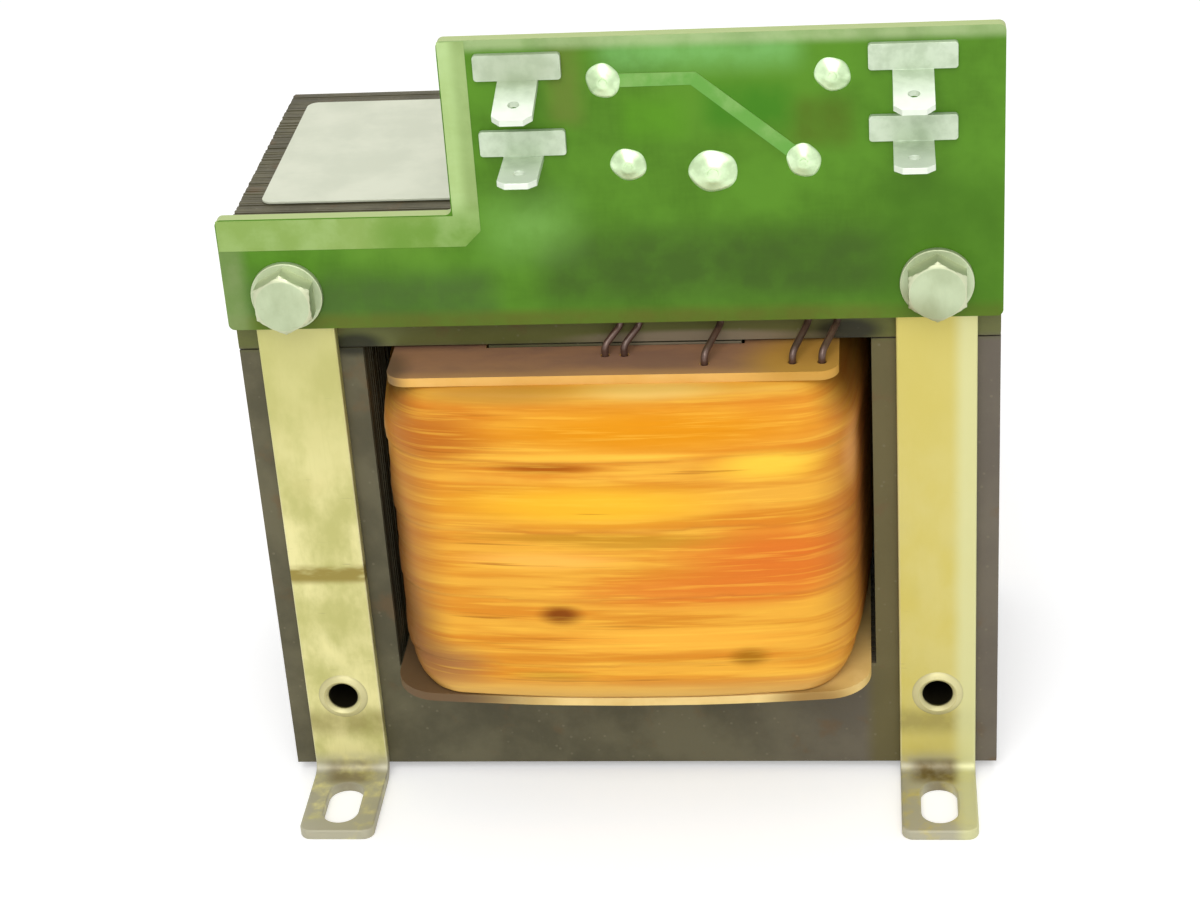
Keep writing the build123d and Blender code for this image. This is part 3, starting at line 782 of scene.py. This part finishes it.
def wrap_outline(half_x, half_y, count):
    """Points and outward directions round the coil's bowed outline, evenly spaced."""
    face_radius = (half_x ** 2 + wrap_face_bow ** 2) / (2 * wrap_face_bow)
    side_radius = (half_y ** 2 + wrap_side_bow ** 2) / (2 * wrap_side_bow)
    face_centre = Vector((0, face_radius - half_y - wrap_face_bow))
    side_centre = Vector((half_x + wrap_side_bow - side_radius, 0))
    meets = intersect_sphere_sphere_2d(
        face_centre, face_radius - wrap_corner, side_centre, side_radius - wrap_corner)
    corner = max(meets, key=lambda point: point.x - point.y)
    face_turn = math.atan2(corner.x, face_centre.y - corner.y)
    side_turn = math.atan2(-corner.y, corner.x - side_centre.x)
    quarter = math.pi / 2
    half = [
        (face_centre, face_radius, -quarter - face_turn, -quarter + face_turn),
        (corner, wrap_corner, -quarter + face_turn, -side_turn),
        (side_centre, side_radius, -side_turn, side_turn),
        (Vector((corner.x, -corner.y)), wrap_corner, side_turn, quarter - face_turn),
    ]
    arcs = half + [(-centre, radius, low + math.pi, high + math.pi) for centre, radius, low, high in half]
    total = sum(radius * (high - low) for centre, radius, low, high in arcs)
    points = []
    for k in range(count):
        left = total * k / count
        for centre, radius, low, high in arcs:
            length = radius * (high - low)
            if left <= length:
                break
            left -= length
        angle = low + left / radius
        out = Vector((math.cos(angle), math.sin(angle)))
        points.append((centre + out * radius, out))
    return points


def film_height(x, y, z, out):
    """How far the film stands out at a place on the coil: tape turns, wire ridges and wrinkles."""
    wander = tape_wander * noise.noise(Vector((x * wander_waves, y * wander_waves, wander_slice)))
    turns_down = max(0.0, (wrap_high.z - z + wander) / tape_width)
    tucked = 1 - turns_down % 1
    lift = -tape_step * tucked ** tape_tuck
    ridge = wire_ridge * abs(math.sin(math.pi * (z + ridge_wander * wander) / wire_pitch))
    place = Vector((x * crease_waves, y * crease_waves, z * crease_waves_up))
    crease = wrinkle * noise.fractal(place, crease_fade, crease_step, crease_octaves)
    relief = lift + ridge + crease - wire_ridge - wrinkle_depth * wrinkle
    pressed = max(0.0, (abs(out.x) - press_start) / (1 - press_start))
    return relief * (1 - pressed) + wrap_side_press * pressed


def rounding(from_edge, radius):
    """How far a rounded edge has turned in at this distance from it."""
    past = max(0.0, 1 - from_edge / radius)
    return radius * (1 - math.sqrt(1 - past * past))


def shoulder(from_edge, out, rim, side_reach, side_height):
    """How far the film turns in near an end: a small rim on the faces, a round shoulder at the sides."""
    side = out.x * out.x
    height = rim + (side_height - rim) * side
    reach = rim + (side_reach - rim) * side
    return rounding(from_edge, height) * reach / height


def coil_film():
    """The outer wrap of film tape, with the wire showing through it."""
    half_x = wrap_high.x - wrap_side_bow
    half_y = wrap_high.y - wrap_face_bow
    ring = wrap_outline(half_x, half_y, wrap_columns)
    points = []
    for row in range(wrap_rows):
        share = row / (wrap_rows - 1)
        z = wrap_low.z + share * (wrap_high.z - wrap_low.z)
        for (x, y), out in ring:
            lift = film_height(x, y, z, out)
            lift -= shoulder(wrap_high.z - z, out, wrap_top_rim, wrap_shoulder, wrap_shoulder_height)
            lift -= shoulder(z - wrap_low.z, out, wrap_bottom_rim, wrap_lower_shoulder, wrap_lower_height)
            points.append((x + out.x * lift, y + out.y * lift, z))
    for z in (wrap_high.z, wrap_low.z):
        for (x, y), out in ring:
            points.append((x - out.x * wrap_inside, y - out.y * wrap_inside, z))
    faces = ring_faces(wrap_rows + 2, wrap_columns)
    bottom = (wrap_rows + 1) * wrap_columns
    for column in range(wrap_columns):
        after = (column + 1) % wrap_columns
        faces.append((bottom + column, bottom + after, after, column))
    mesh = mesh_from("coil_film", points, faces, wrap_sharp)
    show("coil_film", mesh, film, "amber_film", "coil_wrap")


def turned(rings, columns):
    """Points of rings round an axis along Y. Each ring is a place on the axis and a radius for each angle."""
    points = []
    for centre_x, centre_z, y, radius in rings:
        for column in range(columns):
            angle = 2 * math.pi * column / columns
            reach = radius(angle)
            points.append((centre_x + reach * math.cos(angle), y, centre_z + reach * math.sin(angle)))
    return points


def capped(rows, columns, first):
    """Faces of a turned body with both ends closed."""
    last = first + (rows - 1) * columns
    start = tuple(range(first + columns - 1, first - 1, -1))
    end = tuple(range(last, last + columns))
    return ring_faces(rows, columns, first) + [start, end]


def facing_out(mesh):
    """Turns every face of closed bodies outward."""
    shape = bmesh.new()
    shape.from_mesh(mesh)
    bmesh.ops.recalc_face_normals(shape, faces=shape.faces)
    shape.to_mesh(mesh)
    shape.free()
    return mesh


def mound_ring(radius, out, lean):
    """Radius of a mound for each angle, a little oval and rippled."""
    def reach(angle):
        oval = mound_oval * out * math.cos(2 * (angle - lean))
        ripple = mound_ripple * math.cos(ripple_count * angle + lean)
        return radius * out * (1 + oval + ripple)
    return reach


def solder_mounds(name, places, direction, slot, *replaced):
    """Mounds of solder with a hollow skirt and a wire end standing in each."""
    points, faces = [], []
    for x, z, seat, radius, height in places:
        lean = chance.uniform(0, 2 * math.pi)
        rings = []
        for out, up in mound_profile:
            rings.append((x, z, seat + direction * height * up, mound_ring(radius, out, lean)))
        faces.extend(capped(len(rings), joint_columns, len(points)))
        points.extend(turned(rings, joint_columns))
    mesh = facing_out(mesh_from(name, points, faces))
    show(name, mesh, solder, slot, *replaced)


def hexagon_ring(limit):
    """Radius of a bolt's head for each angle, cut off at a limit."""
    def reach(angle):
        from_flat = (angle + math.pi / 6) % (math.pi / 3) - math.pi / 6
        return min(head_flat / math.cos(from_flat), limit)
    return reach


def thread_ring(y):
    """Radius of a bolt's thread for each angle. It tapers towards the end."""
    taper = max(0.0, 1 - (bolt_high.y - y) / thread_end)

    def reach(angle):
        phase = (y / thread_pitch + angle / (2 * math.pi)) % 1
        return bolt_radius - thread_depth * abs(2 * phase - 1) - thread_end_drop * taper
    return reach


def hex_bolts():
    """Hexagon bolts: chamfered heads in front, cut thread behind."""
    front = bolt_low.y
    heads = [(back * mm, inside * mm) for back, inside in head_rings] + [(head_height, 0.0)]
    cuts = round((bolt_high.y - thread_start) / thread_pitch * thread_steps)
    points, faces = [], []
    for x in (-strap_x, strap_x):
        rings = []
        for back, inside in heads:
            limit = head_face_radius - inside + back * chamfer_slope
            rings.append((x, bolt_z, front + back, hexagon_ring(limit)))
        for y in (front + head_height, thread_start):
            rings.append((x, bolt_z, y, lambda angle: bolt_radius))
        for k in range(1, cuts + 1):
            y = thread_start + k * thread_pitch / thread_steps
            rings.append((x, bolt_z, min(y, bolt_high.y), thread_ring(y)))
        faces.extend(capped(len(rings), bolt_columns, len(points)))
        points.extend(turned(rings, bolt_columns))
    mesh = facing_out(mesh_from("hex_bolts", points, faces, bolt_sharp))
    show("hex_bolts", mesh, bolt_steel, "zinc_steel", "core_bolts")


def raised_copper(shape, outline):
    """A flat field that stands out from the board's front, with an upright rim."""
    face = shape.faces.new([shape.verts.new((x, board_low.y, z)) for x, z in outline])
    raised = bmesh.ops.extrude_face_region(shape, geom=[face])
    for part in raised["geom"]:
        if isinstance(part, bmesh.types.BMVert):
            part.co.y -= track_height


def stroke(path, width):
    """Outline of a track of this width along a path, with round ends."""
    left, right, ends = [], [], []
    for k, here in enumerate(path):
        before = path[max(k - 1, 0)]
        after = path[min(k + 1, len(path) - 1)]
        ahead = (after - before).normalized()
        side = Vector((-ahead.y, ahead.x)) * width / 2
        left.append(here + side)
        right.append(here - side)
    for end, inward in ((path[-1], path[-2]), (path[0], path[1])):
        ahead = end - inward
        turns = [math.atan2(ahead.y, ahead.x) + turn for turn in round_end]
        ends.append([end + Vector((math.cos(turn), math.sin(turn))) * width / 2 for turn in turns])
    return left + ends[0] + right[::-1] + ends[1]


def copper_under_mask():
    """Copper that stands out under the mask, on the board's front: a field and a track."""
    left = board_low.x + field_border
    arm_top = strip_top - field_border
    arm_bottom = strip_top - field_height
    tab_side = tab_left + field_border
    tab_inner = tab_left + field_width
    tab_top = board_high.z - field_border
    field = [
        (left, arm_bottom), (tab_inner - field_cut, arm_bottom), (tab_inner, arm_bottom + field_cut),
        (tab_inner, tab_top), (tab_side, tab_top), (tab_side, arm_top), (left, arm_top),
    ]
    start = Vector(joints["primary_start_lead"])
    end = Vector(joints["secondary_start_lead"])
    track = [start, start + Vector((track_run, 0)), end + track_bend, end]
    shape = bmesh.new()
    raised_copper(shape, field)
    raised_copper(shape, stroke(track, track_width))
    bmesh.ops.recalc_face_normals(shape, faces=shape.faces)
    mesh = bpy.data.meshes.new("copper_tracks")
    shape.to_mesh(mesh)
    shape.free()
    show("copper_tracks", mesh, copper_mask, "green_board")


def soften(node, material, width):
    """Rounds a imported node's sharp edges with modifiers and gives it its material."""
    piece = nodes[node]
    piece.data.materials.clear()
    piece.data.materials.append(material)
    weld = piece.modifiers.new("weld", "WELD")
    weld.merge_threshold = weld_reach
    flat = piece.modifiers.new("flat", "DECIMATE")
    flat.decimate_type = "DISSOLVE"
    flat.angle_limit = flat_angle
    bevel = piece.modifiers.new("bevel", "BEVEL")
    bevel.width = width
    bevel.segments = bevel_segments
    bevel.limit_method = "ANGLE"
    bevel.angle_limit = sharp_angle
    normals = piece.modifiers.new("normals", "WEIGHTED_NORMAL")
    normals.keep_sharp = True


# Materials
steel = lamination_steel()
film = amber_film()
board_tones = srgb(88, 138, 36), srgb(74, 118, 26), srgb(176, 192, 128)
board_mask = green_mask("green_board", *board_tones, board_zones)
copper_tones = srgb(182, 208, 142), srgb(168, 194, 124), srgb(150, 180, 100)
copper_mask = green_mask("mask_over_copper", *copper_tones, copper_zones)
pale_strap = srgb(230, 223, 158), srgb(189, 186, 114), srgb(220, 209, 143)
gold_strap = srgb(206, 194, 113), srgb(203, 189, 97), srgb(192, 182, 106)
strap_finish = {
    "front_left_foot": strap_steel("yellow_zinc_lined", *pale_strap, lined=True),
    "front_right_foot": strap_steel("yellow_zinc_gold", *gold_strap, highlight_weight=0.8, bend_shade=0.95),
    "rear_left_foot": strap_steel("yellow_zinc_steel", *pale_strap),
}
strap_finish["rear_right_foot"] = strap_finish["rear_left_foot"]
bolt_steel = zinc_steel()
rivet_finish = rivet_steel()
tinned = blade_metal()
solder = bright_metal("solder", srgb(220, 244, 200), srgb(192, 216, 170), 0.24, 0.44, 0.7).done()
former = flange_board()
paper = fibre_board("pale_plate", srgb(216, 219, 198), srgb(206, 210, 189)).done()
wire = coated_wire("enamelled_copper", srgb(176, 92, 44), srgb(142, 66, 28), srgb(196, 116, 60))
sleeve = coated_wire("lead_sleeve", srgb(92, 66, 54), srgb(70, 50, 42), srgb(104, 78, 62))
inner_paper = fibre_board("insulation_paper", srgb(214, 196, 142), srgb(190, 168, 112)).done()
fibre = fibre_board("sleeve_fibre", srgb(150, 84, 52), srgb(122, 64, 40)).done()

# Places of the solder joints, at the top end of each lead
joints = {}
for lead in lead_names:
    lead_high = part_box(lead)[1]
    joints[lead] = (lead_high.x - lead_radius, lead_high.z - lead_radius)

# Core
outer_x = e_high.x - sheet_setback
inner_x = e_high.x - outer_leg
centre_x = centre_leg / 2 - sheet_setback
floor_z = e_low.z + sheet_setback
yoke_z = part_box("coil_former")[0].z - yoke_clearance - sheet_setback
roof_z = e_high.z - sheet_setback
bar_low = i_low.z + sheet_setback
bar_high = i_high.z - sheet_setback
e_outline = [
    (-outer_x, floor_z), (outer_x, floor_z), (outer_x, roof_z), (inner_x, roof_z),
    (inner_x, yoke_z), (centre_x, yoke_z), (centre_x, roof_z), (-centre_x, roof_z),
    (-centre_x, yoke_z), (-inner_x, yoke_z), (-inner_x, roof_z), (-outer_x, roof_z),
]
i_outline = [(-outer_x, bar_low), (outer_x, bar_low), (outer_x, bar_high), (-outer_x, bar_high)]
rivet_holes = [circle(x, rivet_z, rivet_hole) for x in (-strap_x, strap_x)]
bolt_holes = [circle(x, bolt_z, bolt_hole) for x in (-strap_x, strap_x)]
stacked_sheets("e_sheets", [e_outline] + rivet_holes, e_low.y, e_high.y, "e_laminations")
stacked_sheets("i_sheets", [i_outline] + bolt_holes, i_low.y, i_high.y, "i_laminations")

# Coil
coil_film()

# Board, solder and bolts
copper_under_mask()
mounds = []
for lead, (x, z) in joints.items():
    size = (joint_radius, joint_height)
    if lead == "screen_lead":
        size = (screen_joint_radius, screen_joint_height)
    mounds.append((x, z, board_low.y, *size))
solder_mounds("solder_mounds", mounds, -1, "solder", "solder_joints")
pins = []
for blade in blade_names:
    blade_low, blade_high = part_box(blade)
    middle = (blade_low.x + blade_high.x) / 2
    row = blade_high.z - blade_foot / 2
    for side in (-1, 1):
        pins.append((middle + side * pin_offset, row, board_high.y, pin_solder_radius, pin_solder_height))
solder_mounds("pin_solder", pins, 1, "solder")
hex_bolts()

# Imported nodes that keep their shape: material and rounding of the edges in millimetres
softened = (
    (blade_names, tinned, 0.10),
    (lead_names, sleeve, 0.05),
    (("terminal_board",), board_mask, 0.12),
    (("coil_former",), former, 0.15),
    (("front_washers", "rear_washers"), bolt_steel, 0.12),
    (("lock_washers", "core_nuts"), bolt_steel, 0.10),
    (("hollow_rivets",), rivet_finish, 0.05),
    (("top_plate",), paper, 0.06),
    (("bolt_sleeves",), fibre, 0.05),
    (("primary_winding", "secondary_winding"), wire, 0.10),
    (("winding_insulation",), inner_paper, 0.10),
)
for foot, material in strap_finish.items():
    soften(foot, material, strap_rounding)
for names, material, width in softened:
    for node in names:
        soften(node, material, width * mm)


def seen_straight(tree):
    """1 for rays that show a surface itself: straight looks, reflections and looks through glass."""
    path = tree.nodes.new("ShaderNodeLightPath")
    seen = path.outputs["Is Camera Ray"]
    for other in ("Is Glossy Ray", "Is Transmission Ray"):
        both = tree.nodes.new("ShaderNodeMath")
        both.operation = "MAXIMUM"
        tree.links.new(seen, both.inputs[0])
        tree.links.new(path.outputs[other], both.inputs[1])
        seen = both.outputs[0]
    return seen


def white_floor():
    """A pale floor that keeps the object's shadow."""
    half = floor_half
    corners = [(-half, -half, 0), (half, -half, 0), (half, half, 0), (-half, half, 0)]
    mesh = bpy.data.meshes.new("floor")
    mesh.from_pydata(corners, [], [(0, 1, 2, 3)])
    floor = bpy.data.objects.new("floor", mesh)
    bpy.context.scene.collection.objects.link(floor)
    material = bpy.data.materials.new("floor")
    material.use_nodes = True
    tree = material.node_tree
    shader = tree.nodes["Principled BSDF"]
    shader.inputs["Base Color"].default_value = (floor_grey, floor_grey, floor_grey, 1)
    shader.inputs["Roughness"].default_value = floor_roughness
    shader.inputs["Specular IOR Level"].default_value = 0.0
    glow = tree.nodes.new("ShaderNodeEmission")
    level = tree.nodes.new("ShaderNodeMath")
    level.operation = "MULTIPLY"
    level.inputs[1].default_value = floor_glow
    tree.links.new(seen_straight(tree), level.inputs[0])
    tree.links.new(level.outputs[0], glow.inputs["Strength"])
    both = tree.nodes.new("ShaderNodeAddShader")
    tree.links.new(shader.outputs[0], both.inputs[0])
    tree.links.new(glow.outputs[0], both.inputs[1])
    tree.links.new(both.outputs[0], tree.nodes["Material Output"].inputs["Surface"])
    mesh.materials.append(material)


def white_world():
    """Soft even light. Straight looks and reflections see white."""
    world = bpy.data.worlds.new("studio")
    bpy.context.scene.world = world
    world.use_nodes = True
    tree = world.node_tree
    plain = tree.nodes["Background"]
    plain.inputs["Color"].default_value = white
    plain.inputs["Strength"].default_value = world_level
    bright = tree.nodes.new("ShaderNodeBackground")
    bright.inputs["Color"].default_value = white
    bright.inputs["Strength"].default_value = 1.0
    chosen = tree.nodes.new("ShaderNodeMixShader")
    tree.links.new(seen_straight(tree), chosen.inputs[0])
    tree.links.new(plain.outputs[0], chosen.inputs[1])
    tree.links.new(bright.outputs[0], chosen.inputs[2])
    tree.links.new(chosen.outputs[0], tree.nodes["World Output"].inputs["Surface"])


def lamp(name, place, size, power):
    """A square lamp that shines at the object."""
    light = bpy.data.lights.new(name, "AREA")
    light.shape = "SQUARE"
    light.size = size
    light.energy = power
    made = bpy.data.objects.new(name, light)
    made.location = place
    made.rotation_euler = (lamp_aim - place).to_track_quat("-Z", "Y").to_euler()
    bpy.context.scene.collection.objects.link(made)


def photograph_camera():
    """Camera where the photograph was taken from."""
    ahead = Vector((
        math.sin(camera_yaw) * math.cos(camera_pitch),
        math.cos(camera_yaw) * math.cos(camera_pitch),
        -math.sin(camera_pitch),
    ))
    level = Vector((math.cos(camera_yaw), -math.sin(camera_yaw), 0))
    down = ahead.cross(level)
    right = math.cos(camera_roll) * level + math.sin(camera_roll) * down
    below = -math.sin(camera_roll) * level + math.cos(camera_roll) * down
    view = bpy.data.cameras.new("camera")
    view.sensor_fit = "HORIZONTAL"
    view.sensor_width = sensor_width
    view.lens = camera_focus / image_width * sensor_width
    view.clip_start = camera_near
    made = bpy.data.objects.new("camera", view)
    made.matrix_world = Matrix.Translation(camera_eye) @ Matrix((right, -below, -ahead)).transposed().to_4x4()
    bpy.context.scene.collection.objects.link(made)
    bpy.context.scene.camera = made


white_floor()
white_world()
for name, (place, size, power) in lamps.items():
    lamp(name, place, size, power)
photograph_camera()
bpy.context.scene.view_settings.view_transform = "Standard"
